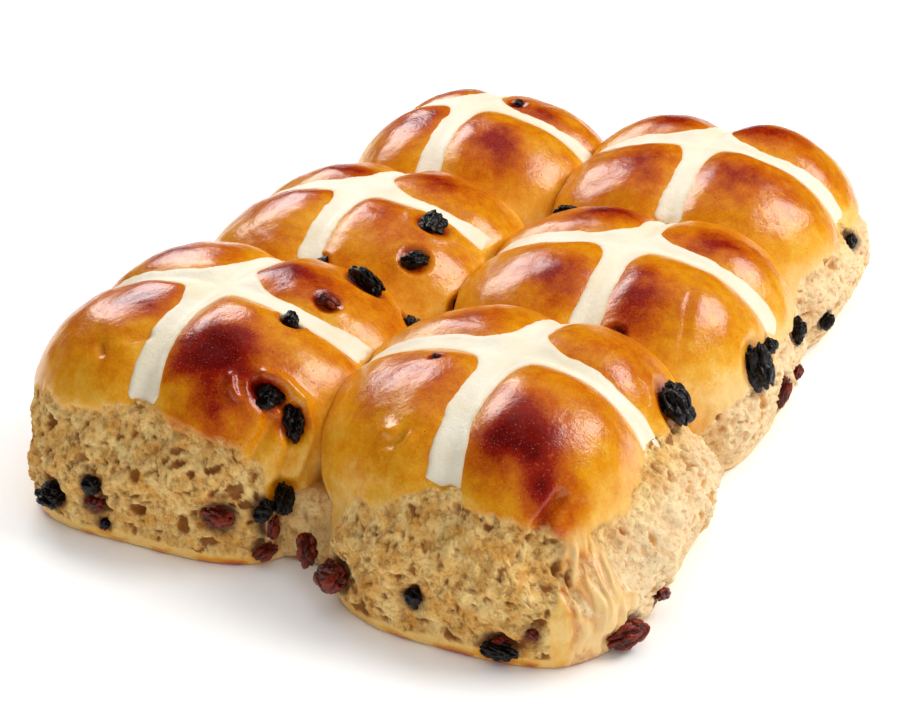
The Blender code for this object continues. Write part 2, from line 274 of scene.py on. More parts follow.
def line_distance(p, line):
    """Distance from points to a line through space."""
    best = np.full(p.shape[:-1], 1e9)
    for a, b in zip(line[:-1], line[1:]):
        a = np.array(a)
        d = np.array(b) - a
        t = np.clip(((p - a) @ d) / (d @ d), 0.0, 1.0)
        best = np.minimum(best, np.linalg.norm(p - a - t[..., None] * d, axis=-1))
    return best


def hanging(b, p):
    """Where skin hangs in strips, and the strips' own relief, about -1 to 1."""
    share = np.zeros(p.shape[:-1])
    for mu, mv, radius, top in b["shreds"]:
        away = np.hypot(p[..., 0] - mu, p[..., 1] - mv)
        here = (1.0 - smooth(radius * 0.7, radius, away)) * (1.0 - smooth(top - 4.0, top + 2.0, p[..., 2]))
        share = np.maximum(share, here)
    along = (p[..., 0] + p[..., 1]) / math.sqrt(2.0)
    lean = along + 1.2 * noise(p / 5.0, 15)
    strips = np.stack([lean / 1.9, p[..., 2] / 8.0, p[..., 2] * 0.0 + b["top"]], axis=-1)
    return share, noise(strips, 16) + 0.4 * noise(strips * 2.1, 17)


def relief(b, p):
    """How far the skin stands out of the plain shape at points round the crossing."""
    u, v = p[..., 0], p[..., 1]
    off_x, off_y = arm_lines(b, u, v)
    beside_x, beside_y = (1.0 - np.exp(-((off / DIP_HALF) ** 2)) for off in (off_x, off_y))
    groove = 1.0 - beside_x * beside_y
    out = np.maximum(np.abs(u), np.abs(v))
    deep = DIP + (DIP_END - DIP) * np.clip(out / 38.0, 0.0, 1.2) ** 1.6
    puff = by_quadrant(b["puffs"], u, v)
    reach_x, reach_y = by_side(b["reach"], u, v)
    away = np.clip(np.sqrt((u / reach_x) ** 2 + (v / reach_y) ** 2), 0.0, 1.0)
    four = np.abs(np.sin(2.0 * np.arctan2(v, u)))
    swell = puff * four * (0.45 * away + 0.55 * np.sin(math.pi * away ** 1.2))
    swell = swell * smooth(12.0, 30.0, p[..., 2])
    high = smooth(12.0, 26.0, p[..., 2])
    where = p + middle_of(b)
    lumps = 0.9 * noise(where / 17.0, 3) + 0.28 * noise(where / 6.5, 5) + 0.07 * noise(where / 2.6, 6)
    total = swell - groove * deep * high + lumps * (1.0 - 0.7 * groove * high)
    low = 1.0 - smooth(17.0, 27.0, p[..., 2])
    turn = np.arctan2(v, u) * 40.0
    stretch = np.stack([turn / 2.6, p[..., 2] / 9.0, where[..., 0] * 0.0 + b["top"]], axis=-1)
    total += low * (0.5 * noise(stretch, 7) + 0.25 * noise(stretch * 2.3, 8))
    for depth, half, line in b["folds"]:
        total -= FOLD_SCALE * depth * np.exp(-((line_distance(p, line) / half) ** 2))
    share, strips = hanging(b, p)
    return total + share * (1.3 * strips - 0.5)


def spread(b):
    """Directions round a bun, closer together on its torn sides."""
    fine = np.linspace(0.0, 2.0 * math.pi, 4001)
    dense = np.full(fine.shape, 1.0)
    for side, *_ in b["torn"]:
        middle = {"left": math.pi, "right": 0.0, "front": 1.5 * math.pi, "back": 0.5 * math.pi}[side]
        turn = np.abs((fine - middle + math.pi) % (2.0 * math.pi) - math.pi)
        dense += 1.0 - smooth(0.7, 1.0, turn)
    total = np.concatenate([[0.0], np.cumsum((dense[1:] + dense[:-1]) / 2.0)])
    steps = np.arange(AROUND) / AROUND * total[-1]
    return np.interp(steps, total, fine)


def crown_edge(b, angle):
    """Distance from the crossing to the crown's edge, held in by the neighbours."""
    own = outline(b["reach"], angle, CORNER) * EDGE_SHARE
    held = outline(b["edge"], angle, EDGE_POWER)
    return np.minimum(own, held) * trim(b, np.cos(angle), np.sin(angle))


def plain_grid(b):
    """Rows of points over one bun, from the crossing down and under to its middle."""
    angle = spread(b)
    c, s = np.cos(angle), np.sin(angle)
    edge = crown_edge(b, angle)
    base = outline(b["base"], angle, BASE_CORNER) * trim(b, c, s)
    side_x, side_y = by_side(b["bulge"], c, s)
    bulge = (side_x * c ** 4 + side_y * s ** 4) / (c ** 4 + s ** 4)
    rows = []
    for t in np.linspace(0.0, 1.0, CROWN_ROWS + 1)[1:]:
        r = edge * (1.0 - (1.0 - t) ** CROWN_EASE)
        rows.append((r * c, r * s, dome(b, r * c, r * s)))
    top = rows[-1][2]
    for k in np.linspace(0.0, 1.0, WALL_ROWS + 1)[1:]:
        down = k ** 0.9
        z = top * (1.0 - down)
        out = smooth(0.0, 0.45, down)
        under = np.clip(1.0 - z / BASE_ROUND, 0.0, 1.0)
        tuck = BASE_ROUND * TUCK * (1.0 - np.sqrt(1.0 - under ** 2))
        r = edge + (base - edge) * out + bulge * math.sin(math.pi * down ** 0.85) - tuck
        rows.append((r * c, r * s, z))
    last_u, last_v, _ = rows[-1]
    for t in np.linspace(1.0, 0.0, FLOOR_ROWS + 1)[1:-1]:
        rows.append((last_u * t, last_v * t, np.full(AROUND, 0.05 + 0.3 * (1.0 - t))))
    return np.stack([np.stack(row, axis=-1) for row in rows])


def grid_normals(p):
    """Outward directions of a grid that closes round its second axis."""
    down = np.gradient(p, axis=0)
    round_ = (np.roll(p, -1, axis=1) - np.roll(p, 1, axis=1)) / 2.0
    n = np.cross(down, round_)
    return n / np.maximum(np.linalg.norm(n, axis=-1, keepdims=True), 1e-9)


def blur_rows(a, times):
    """Softened down the rows of a grid."""
    for _ in range(times):
        a[1:-1] = 0.25 * a[:-2] + 0.5 * a[1:-1] + 0.25 * a[2:]
    return a


def torn_mask(b, p):
    """Distance in from the edge of the torn crumb, negative on skin."""
    where = p + middle_of(b)
    ragged = 1.3 * noise(where / 5.0, 21) + 0.8 * noise(where / 1.9, 22) + 0.35 * noise(where / 0.8, 23)
    inside = np.full(p.shape[:-1], -9.0)
    for side, skin_z, crust in b["torn"]:
        across = side in ("front", "back")
        s = p[..., 0] if across else p[..., 1]
        out = p[..., 1] if across else p[..., 0]
        sign = -1.0 if side in ("front", "left") else 1.0
        places, heights = zip(*crust)
        near = np.minimum(s - places[0], places[-1] - s)
        near = np.minimum(near, 0.8 * (np.interp(s, places, heights) - p[..., 2]))
        near = np.minimum(near, p[..., 2] - skin_z)
        near = np.minimum(near, sign * out - 16.0)
        inside = np.maximum(inside, near)
    share, strips = hanging(b, p)
    inside = inside + ragged
    return inside * (1.0 - share) - share * (3.0 * strips + 0.9)


def shape_bun(b):
    """A bun's plain points, outward directions, whole skin, torn skin, crumb mask, and the depth of its
    holes, which sets the painted shade in the pores.
    """
    p = plain_grid(b)
    rows = np.arange(p.shape[0])[:, None, None]
    p = p + (blur_rows(p.copy(), 14) - p) * np.exp(-(((rows - CROWN_ROWS) / 9.0) ** 2))
    n = blur_rows(grid_normals(p), 40)
    n /= np.maximum(np.linalg.norm(n, axis=-1, keepdims=True), 1e-9)
    keep = np.ones(p.shape[:-1])
    keep[CROWN_ROWS + WALL_ROWS - 1:] = 0.0
    skin = relief(b, p)
    inside = torn_mask(b, p)
    crumb = smooth(-0.25, 0.35, inside) * keep
    where = p + middle_of(b)
    torn = crumb > 0.0
    q = where[torn]
    bent = q + 1.6 * np.stack([noise(q / 2.6, seed) for seed in (31, 32, 33)], axis=-1)
    bent = bent + 0.5 * np.stack([noise(q / 0.9, seed) for seed in (34, 35, 36)], axis=-1)
    bent = bent * np.array((1.0, 1.0, 1.35))    # holes are wider than high
    big = pores(bent / 5.6, 41, 0.6, 0.16, 0.46) * 5.6
    mid = pores(bent / 2.7, 51, 0.85, 0.2, 0.52) * 2.7
    fine = pores(bent / 1.4, 61, 0.9, 0.25, 0.6) * 1.4
    walls = 1.0 - np.abs(noise(bent / 3.4, 71)) * 2.2
    threads = 1.0 - np.abs(noise(bent / 1.6, 72)) * 2.2
    lumps = 1.5 * noise(q / 8.0, 81) + 0.9 * noise(q / 3.8, 82)
    hole = np.maximum(np.maximum(big * 0.8, mid * 0.85), fine * 0.6)
    rough = np.zeros(p.shape[:-1])
    rough[torn] = lumps + 0.55 * walls + 0.25 * threads + 0.2 * noise(q / 0.9, 83) - hole - RECESS
    # painted shade: deeper between the crumb's walls, for the colour only
    hole = hole + 0.35 * smooth(0.2, 1.0, np.abs(noise(bent / 3.4, 71)) * 2.0)
    depth = np.zeros(p.shape[:-1])
    depth[torn] = hole
    low = 0.25 + 0.75 * smooth(0.0, 5.0, p[..., 2])
    whole = p + n * (skin * keep * low)[..., None]
    swell = skin * (1.0 - 0.6 * crumb) * keep + rough * smooth(-0.2, 1.6, inside) * (crumb > 0) * keep
    return p, n, whole, p + n * (swell * low)[..., None], crumb, depth


def bake_of(b, p, where):
    """How browned the crust is, 0 pale to 1 dark red-brown."""
    u, v, z = p[..., 0], p[..., 1], p[..., 2]
    brown = 0.02 + 0.06 * smooth(5.0, 20.0, z) + 0.31 * smooth(20.0, 44.0, z)
    wobble = np.stack([noise(where / 8.0, 91), noise(where / 8.0, 92)], axis=-1) * 4.0
    patch = np.zeros(z.shape)
    for mu, mv, ru, rv, strength in b["dark"]:
        away = ((u + wobble[..., 0] - mu) / ru) ** 2 + ((v + wobble[..., 1] - mv) / rv) ** 2
        patch = np.maximum(patch, strength * np.exp(-away ** 0.8))
    brown = brown + 0.7 * patch + 0.12 * noise(where / 12.0, 93) + 0.07 * noise(where / 3.5, 94)
    brown = brown + 0.5 * (1.0 - smooth(0.5, 3.0, z)) * smooth(-0.1, 0.5, noise(where / 6.0, 95))
    off_x, off_y = arm_lines(b, u, v)
    beside = np.minimum(np.abs(off_x), np.abs(off_y))
    brown = brown - 0.16 * np.exp(-((beside / 5.0) ** 2))
    return np.clip(brown, 0.0, 1.0)


# ------------ meshes
def add_object(name, data):
    """An object of the scene."""
    ob = bpy.data.objects.new(name, data)
    bpy.context.scene.collection.objects.link(ob)
    return ob


def heading(azimuth, lift):
    """A direction of length 1, from degrees round from +X and degrees up."""
    a, e = math.radians(azimuth), math.radians(lift)
    return Vector((math.cos(a) * math.cos(e), math.sin(a) * math.cos(e), math.sin(e)))


def add_mesh(name, points, quads, triangles, material):
    """A mesh object from arrays of points in millimetres."""
    mesh = bpy.data.meshes.new(name)
    mesh.vertices.add(len(points))
    mesh.vertices.foreach_set("co", ((points + SHIFT) * MM).astype(np.float32).ravel())
    corners = np.concatenate([quads.ravel(), triangles.ravel()]).astype(np.int32)
    mesh.loops.add(len(corners))
    mesh.loops.foreach_set("vertex_index", corners)
    sizes = np.concatenate([np.full(len(quads), 4), np.full(len(triangles), 3)])
    starts = np.concatenate([[0], np.cumsum(sizes)[:-1]]).astype(np.int32)
    mesh.polygons.add(len(sizes))
    mesh.polygons.foreach_set("loop_start", starts)
    mesh.update(calc_edges=True)
    mesh.validate()
    mesh.polygons.foreach_set("use_smooth", np.ones(len(mesh.polygons), dtype=bool))
    mesh.materials.append(material)
    return add_object(name, mesh)


def add_mask(ob, name, values):
    """One number a vertex, for the material."""
    layer = ob.data.attributes.new(name, "FLOAT", "POINT")
    layer.data.foreach_set("value", np.clip(values, 0.0, 1.0).astype(np.float32).ravel())


def grid_faces(rows, columns):
    """Quads between rows that close round, counted from the second vertex, and two end fans."""
    i = np.arange(rows - 1)[:, None]
    j = np.arange(columns)[None, :]
    k = (j + 1) % columns
    a = 1 + i * columns
    quads = np.stack([a + j, a + columns + j, a + columns + k, a + k], axis=-1).reshape(-1, 4)
    j = np.arange(columns)
    k = (j + 1) % columns
    last = 1 + (rows - 1) * columns
    top = np.stack([np.zeros(columns, dtype=int), 1 + j, 1 + k], axis=-1)
    end = np.stack([last + j, np.full(columns, last + columns), last + k], axis=-1)
    return quads, np.concatenate([top, end])


def belongs(ob, slot, *nodes):
    """Ride on the frame and stand for CAD nodes, which are hidden; slot is not used."""
    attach(ob, "root")
    if nodes:
        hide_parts(*nodes)


def colour(r, g, b):
    """A display colour, 0 to 255, as the linear colour that materials take."""
    linear = [c / 255.0 / 12.92 if c <= 10 else ((c / 255.0 + 0.055) / 1.055) ** 2.4 for c in (r, g, b)]
    return (*linear, 1.0)


# ------------ materials
class Nodes:
    """Short names for building one material's node tree."""

    def __init__(self, name):
        self.material = bpy.data.materials.new(name)
        self.material.use_nodes = True
        self.tree = self.material.node_tree
        self.shader = self.tree.nodes["Principled BSDF"]

    def link(self, a, b):
        self.tree.links.new(a, b)

    def put(self, socket, value):
        if isinstance(value, bpy.types.NodeSocket):
            self.link(value, socket)
        else:
            socket.default_value = value

    def mask(self, name):
        node = self.tree.nodes.new("ShaderNodeAttribute")
        node.attribute_name = name
        return node.outputs["Fac"]

    def place(self):
        return self.tree.nodes.new("ShaderNodeTexCoord").outputs["Object"]

    def noise(self, scale, detail=3.0, rough=0.5):
        node = self.tree.nodes.new("ShaderNodeTexNoise")
        node.inputs["Scale"].default_value = scale
        node.inputs["Detail"].default_value = detail
        node.inputs["Roughness"].default_value = rough
        self.link(self.place(), node.inputs["Vector"])
        return node.outputs["Fac"]

    def cells(self, scale):
        node = self.tree.nodes.new("ShaderNodeTexVoronoi")
        node.inputs["Scale"].default_value = scale
        self.link(self.place(), node.inputs["Vector"])
        return node.outputs["Distance"]

    def math(self, kind, a, b=0.0, c=0.0):
        node = self.tree.nodes.new("ShaderNodeMath")
        node.operation = kind
        for k, value in enumerate((a, b, c)):
            self.put(node.inputs[k], value)
        return node.outputs[0]

    def range(self, value, low, high, out_low=0.0, out_high=1.0):
        node = self.tree.nodes.new("ShaderNodeMapRange")
        node.interpolation_type = "SMOOTHSTEP"
        for socket, v in zip(node.inputs, (value, low, high, out_low, out_high)):
            self.put(socket, v)
        return node.outputs[0]

    def mix(self, factor, a, b):
        node = self.tree.nodes.new("ShaderNodeMix")
        node.data_type = "RGBA"
        self.put(node.inputs[0], factor)
        self.put(node.inputs[6], a)
        self.put(node.inputs[7], b)
        return node.outputs[2]

    def ramp(self, value, stops):
        node = self.tree.nodes.new("ShaderNodeValToRGB")
        ramp = node.color_ramp
        while len(ramp.elements) < len(stops):
            ramp.elements.new(0.5)
        for element, (at, rgb) in zip(ramp.elements, stops):
            element.position = at
            element.color = rgb
        self.put(node.inputs[0], value)
        return node.outputs[0]

    def bump(self, height, depth):
        node = self.tree.nodes.new("ShaderNodeBump")
        node.inputs["Distance"].default_value = depth
        node.inputs["Strength"].default_value = 1.0
        self.put(node.inputs["Height"], height)
        return node.outputs[0]

    def finish(self, base, rough, normal):
        self.put(self.shader.inputs["Base Color"], base)
        self.put(self.shader.inputs["Roughness"], rough)
        if normal is not None:
            self.link(normal, self.shader.inputs["Normal"])
        return self.material


def bread_material():
    """Glazed crust and open crumb in one material, chosen by the mesh's masks."""
    m = Nodes("bread")
    crumb, pore_shade, bake, pale = m.mask("crumb"), m.mask("pore_shade"), m.mask("bake"), m.mask("pale")
    stain = m.mask("stain")
    # crust
    blotch = m.math("MULTIPLY_ADD", m.math("SUBTRACT", m.noise(380.0, 4.0, 0.6), 0.5), 0.32, bake)
    speck = m.math("MULTIPLY_ADD", m.math("SUBTRACT", m.noise(1500.0, 3.0, 0.7), 0.5), 0.30, blotch)
    crust = m.ramp(speck, (
        (0.0, colour(248, 204, 118)),
        (0.14, colour(240, 178, 52)),
        (0.30, colour(228, 146, 4)),
        (0.50, colour(202, 96, 0)),
        (0.74, colour(150, 26, 2)),
        (1.0, colour(104, 4, 4)),
    ))
    # painted highlight: tiny pale glints of the glaze, painted into the crust colour
    painted_glints = m.range(m.noise(2600.0, 2.0, 0.5), 0.63, 0.72)
    crust = m.mix(m.math("MULTIPLY", painted_glints, 0.26), crust, colour(244, 176, 112))
    pits = m.range(m.cells(900.0), 0.05, 0.16, 1.0, 0.0)
    pit_here = m.math("MULTIPLY", pits, m.range(m.noise(300.0, 1.0), 0.52, 0.6))
    crust = m.mix(m.math("MULTIPLY", pit_here, 0.5), crust, colour(92, 30, 6))
    # pale: paler hanging strips of skin, and painted light that brightens the batch's right flank
    crust = m.mix(m.math("MULTIPLY", pale, 0.75), crust, colour(248, 212, 152))
    # crumb
    tone = m.noise(190.0, 4.0, 0.65)
    soft = m.mix(m.range(tone, 0.35, 0.68), colour(222, 156, 60), colour(252, 216, 140))
    # painted light: the pale mask also brightens the crumb of the batch's right flank
    soft = m.mix(m.math("MULTIPLY", pale, 0.62), soft, colour(255, 238, 206))
    fibre = m.range(m.noise(1300.0, 3.0, 0.6), 0.35, 0.7)
    soft = m.mix(m.math("MULTIPLY", fibre, 0.3), soft, colour(252, 222, 152))
    # painted shade: the crumb's pores and tiny holes are darkened, less so where the right flank is painted
    # light
    pore_shade_tint = m.mix(pale, colour(140, 72, 6), colour(222, 158, 78))
    tiny = m.range(m.noise(520.0, 4.0, 0.6), 0.34, 0.48, 1.0, 0.0)
    tiny = m.math("MAXIMUM", tiny, m.range(m.noise(1500.0, 3.0, 0.6), 0.34, 0.44, 0.5, 0.0))
    dark = m.math("MAXIMUM", m.range(pore_shade, 0.05, 0.75, 0.0, 0.88), m.math("MULTIPLY", tiny, 0.5))
    soft = m.mix(dark, soft, pore_shade_tint)
    soft = m.mix(m.math("MULTIPLY", stain, 0.85), soft, colour(92, 40, 22))
    base = m.mix(crumb, crust, soft)
    rough_crust = m.math("MULTIPLY_ADD", m.noise(700.0, 3.0), 0.16, 0.15)
    rough_crust = m.math("MULTIPLY_ADD", m.range(bake, 0.0, 0.3, 1.0, 0.0), 0.22, rough_crust)
    m.shader.inputs["Specular IOR Level"].default_value = 0.5
    rough = m.math("ADD", rough_crust, m.math("MULTIPLY", crumb, 0.6))
    skin = m.math("MULTIPLY_ADD", m.noise(900.0, 3.0, 0.6), 0.5, m.math("MULTIPLY", pit_here, -0.8))
    open_ = m.math("ADD", m.math("MULTIPLY", m.noise(900.0, 4.0, 0.6), 1.1),
                   m.math("MULTIPLY", tiny, -0.7))
    height = m.math("ADD", m.math("MULTIPLY", skin, m.math("SUBTRACT", 1.0, crumb)),
                    m.math("MULTIPLY", open_, crumb))
    return m.finish(base, rough, m.bump(height, 0.00022))


def paste_material():
    """Baked flour paste: cream, matte, with faint ripples and browner edges."""
    m = Nodes("cross_paste")
    edge = m.mask("edge")
    body = m.mix(m.range(m.noise(90.0, 3.0), 0.35, 0.7), colour(250, 241, 220), colour(243, 230, 200))
    base = m.mix(m.math("MULTIPLY", edge, 0.55), body, colour(226, 182, 112))
    spots = m.range(m.noise(1500.0, 2.0), 0.68, 0.74)
    base = m.mix(m.math("MULTIPLY", spots, 0.3), base, colour(206, 168, 110))
    height = m.math("ADD", m.noise(420.0, 4.0, 0.6), m.math("MULTIPLY", m.noise(1800.0, 2.0), 0.35))
    return m.finish(base, m.math("MULTIPLY_ADD", m.noise(300.0), 0.2, 0.42), m.bump(height, 0.0002))


def fruit_material(name, deep, ridge, tint, gloss):
    """Wrinkled dried fruit, with painted shade: darker in the folds, lighter on the ridges."""
    m = Nodes(name)
    fold = m.mask("fold")
    # painted shade: the fold mask darkens the fruit's folds
    base = m.mix(m.range(fold, 0.0, 1.0), colour(*ridge), colour(*deep))
    base = m.mix(m.range(m.noise(700.0, 4.0, 0.6), 0.5, 0.8, 0.0, 0.6), base, colour(*tint))
    m.shader.inputs["Specular IOR Level"].default_value = gloss
    height = m.math("ADD", m.noise(900.0, 5.0, 0.6), m.math("MULTIPLY", m.noise(2400.0, 2.0), 0.4))
    rough = m.math("MULTIPLY_ADD", m.noise(500.0, 3.0), 0.3, 0.14)
    return m.finish(base, rough, m.bump(height, 0.00025))


bread_mat = bread_material()
paste_mat = paste_material()
fruit_mats = {
    "dark": fruit_material("dark_fruit", (3, 1, 2), (12, 7, 6), (40, 22, 14), 0.3),
    "red": fruit_material("red_fruit", (62, 8, 2), (128, 34, 10), (150, 70, 26), 0.35),
}

# ------------ fruit
# node, material, long wide thick, direction it faces (degrees round, degrees up), turn
FRUIT = (
    ("currant_left_side", "dark", (7.4, 6.8, 6.8), (-100, 5), 0),
    ("raisin_pair_upper", "dark", (7.6, 6.4, 5.2), (-45, 40), 30),
    ("raisin_pair_lower", "dark", (8.4, 6.6, 5.4), (-45, 35), 70),
    ("currant_seam_low", "dark", (8.0, 4.8, 4.8), (-35, 25), 80),
    ("raisin_left_crumb", "red", (9.0, 5.4, 4.0), (-90, 0), 0),
    ("raisin_front_seam", "red", (8.6, 5.0, 4.4), (-80, 10), 90),
    ("sultana_front_corner", "red", (9.6, 7.6, 5.6), (-110, 0), 20),
    ("raisin_right_shoulder", "dark", (11.4, 9.8, 7.0), (10, 40), 60),
    ("raisin_front_base", "dark", (9.0, 4.8, 4.6), (-90, 0), 0),
    ("peel_right_corner", "red", (10.0, 6.2, 5.4), (-40, 0), 10),
    ("raisin_middle_left", "dark", (9.4, 7.4, 5.0), (-20, 65), 30),
    ("raisin_middle_front", "dark", (7.4, 5.0, 4.4), (-45, 60), 0),
    ("raisin_left_crease", "dark", (11.6, 5.8, 5.4), (35, 55), 40),
    ("raisin_pit", "dark", (6.6, 5.2, 4.6), (25, 45), 0),
    ("currant_middle_seam", "dark", (7.6, 4.2, 4.2), (-20, 30), 80),
    ("raisin_right_flank", "dark", (12.8, 8.4, 6.0), (-8, 22), 85),
    ("raisin_back_rim", "dark", (7.2, 5.6, 5.0), (10, 20), 60),
    ("raisin_right_low", "red", (9.4, 4.4, 4.0), (0, -10), 80),
    ("raisin_back_crown", "dark", (8.4, 5.0, 4.4), (120, 60), 20),
)

FRUIT_PROUD = 0.05  # share of a fruit's thickness that its middle stands out of the skin
PROUD = {
    "currant_left_side": 0.25, "sultana_front_corner": 0.2, "raisin_right_shoulder": 0.12,
    "raisin_right_flank": 0.12, "raisin_left_crumb": -0.15, "raisin_front_base": 0.15,
    "peel_right_corner": 0.2, "raisin_pair_upper": -0.05, "raisin_pair_lower": 0.0,
}
FRUIT_STRAY = 2.4  # furthest that a fruit moves from its solid to meet the skin

# fruit too small for solids of their own: material, middle in the batch, long wide thick
SMALL_FRUIT = (
    ("dark", (-48.6, -113.5, 14.3), (4.6, 5.2, 3.8)), ("dark", (-15.9, -78.6, 45.2), (5.8, 4.2, 3.6)),
    ("red", (-14.6, -63.8, 43), (6.4, 3.6, 3)), ("dark", (-5.6, -109.2, 14.3), (4.2, 6, 3.8)),
    ("red", (-48.6, -113.8, 9.8), (5.6, 4, 3.4)), ("dark", (-45.8, -112.3, 3.2), (3.8, 2.6, 2.4)),
    ("dark", (35.6, -121, 11.4), (4.8, 4, 3.4)), ("red", (80, -92, 6.4), (6.8, 3.4, 3.2)),
    ("dark", (23.5, -83.3, 46.4), (2, 1.2, 1.2)), ("dark", (-33, -29.5, 36), (5.2, 3.4, 3.2)),
    ("dark", (78.4, -8.3, 26.5), (4.2, 5.2, 3.8)), ("dark", (48, -38, 36), (5.4, 3.6, 3.4)),
    ("red", (80.6, 13.7, 9.2), (5, 3.4, 3)), ("dark", (81.2, 44, 9), (5.4, 4.2, 3.8)),
    ("dark", (80, 71, 24), (3.4, 5.2, 3.2)), ("dark", (-27, 81.5, 45.6), (5, 2.8, 2.4)),
    ("red", (-3.6, -114.5, 4.4), (6, 4.2, 3.4)), ("red", (-1.6, -111, 11), (6.4, 3.2, 2.4)),
    ("red", (60.6, -117.6, 8), (3.2, 2.2, 1.8)), ("red", (55.6, -119.2, 5), (4, 2.4, 2)),
    ("dark", (-81, -52, 12), (6, 4.6, 4)), ("red", (-80, 12, 14), (7, 5, 4)),
    ("dark", (-78, 30, 8), (6, 4.6, 4)), ("dark", (-50, 112, 12), (6.4, 4.6, 4)),
    ("red", (30, 112, 16), (7, 4.6, 4)), ("dark", (52, 111, 8), (5.6, 4.4, 4)),
)
SMALL_SEED = 40  # first seed of their shapes, after those of the fruit above
SMALL_TURN = 47.0  # degrees from one small fruit's turn to the next one's

NO_QUADS = np.zeros((0, 4), int)
NO_TRIANGLES = np.zeros((0, 3), int)
shapes = {name: shape_bun(b) for name, b in BUNS.items()}


def fruit_points(directions, size, seed):
    """Points and fold depth of one wrinkled fruit round zero, from directions on a ball."""
    where = directions * np.array((0.75, 1.2, 1.2)) + seed * 7.31
    bent = where + 0.25 * np.stack([noise(where * 1.9, k) for k in (204, 205, 206)], axis=-1)
    big = smooth(0.0, 0.42, np.abs(noise(bent * 1.2, 201)))
    fine = smooth(0.0, 0.34, np.abs(noise(bent * 3.0, 202)))
    lump = 1.04 + 0.26 * noise(where * 0.95, 203)
    radius = lump * (1.0 - 0.24 * (1.0 - big) - 0.06 * (1.0 - fine))
    points = directions * radius[:, None] * np.array(size) / 2.0
    return points, np.clip(1.3 - big * 0.9 - fine * 0.4, 0.0, 1.0)


def ball(levels):
    """Directions and triangles of an icosphere."""
    bm = bmesh.new()
    bmesh.ops.create_icosphere(bm, subdivisions=levels, radius=1.0)
    points = np.array([v.co[:] for v in bm.verts])
    faces = np.array([[v.index for v in f.verts] for f in bm.faces])
    bm.free()
    return points / np.linalg.norm(points, axis=1, keepdims=True), faces


def facing(azimuth, lift, turn):
    """Matrix whose third axis points out and whose first is turned about it."""
    out = heading(azimuth, lift)
    level = Vector((-math.sin(math.radians(azimuth)), math.cos(math.radians(azimuth)), 0.0))
    along = Matrix.Rotation(math.radians(turn), 3, out) @ level
    return np.array((along, out.cross(along), out)).T


def axes_out(out, turn):
    """Matrix whose third axis is out and whose first is turned about it."""
    azimuth = math.degrees(math.atan2(out[1], out[0]))
    lift = math.degrees(math.asin(np.clip(out[2], -1, 1)))
    return facing(azimuth, lift, turn)


def settle(point):
    """The nearest place on the buns' skin or crumb, and the way out of it."""
    best = (1e9, None, None)
    for name, b in BUNS.items():
        _, n, _, moved, *_ = shapes[name]
        centre = middle_of(b)
        away = np.linalg.norm(moved + centre - point, axis=-1)
        at = np.unravel_index(np.argmin(away), away.shape)
        if away[at] < best[0]:
            best = (away[at], moved[at] + centre, n[at])
    return best[1], best[2]


def add_fruit():
    """One piece for each fruit with a solid. Returns their middles and radii."""
    spots = []
    directions, triangles = ball(5)
    for number, (node, kind, size, face, turn) in enumerate(FRUIT):
        low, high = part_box(node)
        middle = (np.array(low) + np.array(high)) / 2.0 / MM - SHIFT
        skin, out = settle(middle)
        step = skin + out * size[2] * PROUD.get(node, FRUIT_PROUD) - middle
        middle = middle + step * min(1.0, FRUIT_STRAY / max(np.linalg.norm(step), 1e-6))
        shape, fold = fruit_points(directions, size, number)
        placed = shape @ facing(*face, turn).T + middle
        piece = add_mesh("piece_" + node, placed, NO_QUADS, triangles, fruit_mats[kind])
        add_mask(piece, "fold", fold)
        belongs(piece, kind + "_fruit", node)
        spots.append((middle, max(size) / 2.0))
    return spots


def add_small_fruit():
    """The smaller fruit, as one piece of each colour. Returns their middles and radii."""
    spots = []
    directions, triangles = ball(4)
    for kind, material in fruit_mats.items():
        points, faces, folds = [], [], []
        for number, (own, near, size) in enumerate(SMALL_FRUIT):
            if own != kind:
                continue
            skin, out = settle(np.array(near))
            middle = skin + out * size[2] * FRUIT_PROUD
            shape, fold = fruit_points(directions, size, SMALL_SEED + number)
            faces.append(triangles + len(points) * len(directions))
            points.append(shape @ axes_out(out, SMALL_TURN * number).T + middle)
            folds.append(fold)
            spots.append((middle, max(size) / 2.0))
        piece = add_mesh("small_fruit_" + kind, np.concatenate(points), NO_QUADS,
                         np.concatenate(faces), material)
        add_mask(piece, "fold", np.concatenate(folds))
        belongs(piece, kind + "_fruit")
    return spots


fruit_spots = add_fruit() + add_small_fruit()

# ------------ buns
DENT = 1.3  # the bread gives way this far under a fruit
RIM = 0.5  # and rises this far round it
STAIN_SOFT = 1.3  # juice spreads about this far into the bread
LOWEST = 0.02  # nothing goes nearer the floor than this
UNDERSIDE = 0.4  # the middle of the base is this far off the floor


def fruit_marks(placed):
    """Where the fruit stain, dent and push up the bread, each 0 to 1."""
    stain, dent, rim = np.zeros((3, *placed.shape[:-1]))
    for middle, radius in fruit_spots:
        away = np.linalg.norm(placed - middle, axis=-1)
        beyond = np.clip(away - radius * 0.8, 0.0, None)
        stain = np.maximum(stain, np.exp(-((beyond / STAIN_SOFT) ** 2)))
        dent = np.maximum(dent, np.exp(-((away / (radius * 1.1)) ** 4)))
        ring = np.exp(-(((away / radius - 1.3) / 0.35) ** 2))
        rim = np.maximum(rim, ring * min(radius / 4.0, 1.0))
    return stain, dent, rim


